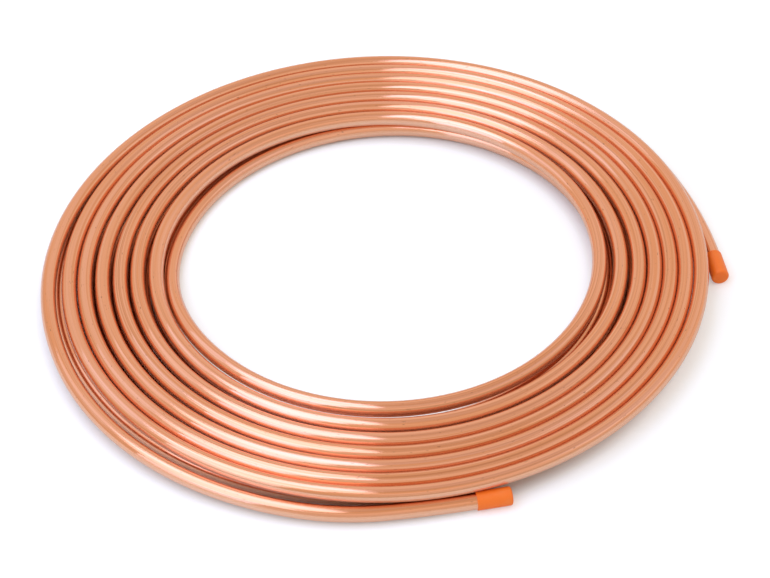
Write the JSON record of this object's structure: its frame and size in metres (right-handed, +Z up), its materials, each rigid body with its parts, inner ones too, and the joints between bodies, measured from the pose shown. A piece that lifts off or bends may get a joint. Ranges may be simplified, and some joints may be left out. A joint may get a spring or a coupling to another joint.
{
  "type": "copper tube coil",
  "caption": "Flat two-layer coil of soft copper tube with an open eye, both ends on the outside and closed by push-on plastic caps.",
  "frame": {"origin": "on the floor, at the centre of the coil's eye", "axes": "+Z up along the axis of the coil, +X towards the side of the coil where the lower layer's loose end lies"},
  "size_m": [0.4317, 0.4202, 0.0191],
  "materials": {
    "copper": "bright drawn copper, satin along the tube",
    "orange_plastic": "soft satin orange plastic"
  },
  "bodies": {
    "root": {"copper_tube": "copper", "end_cap_lower": "orange_plastic", "end_cap_upper": "orange_plastic"}
  },
  "joints": []
}
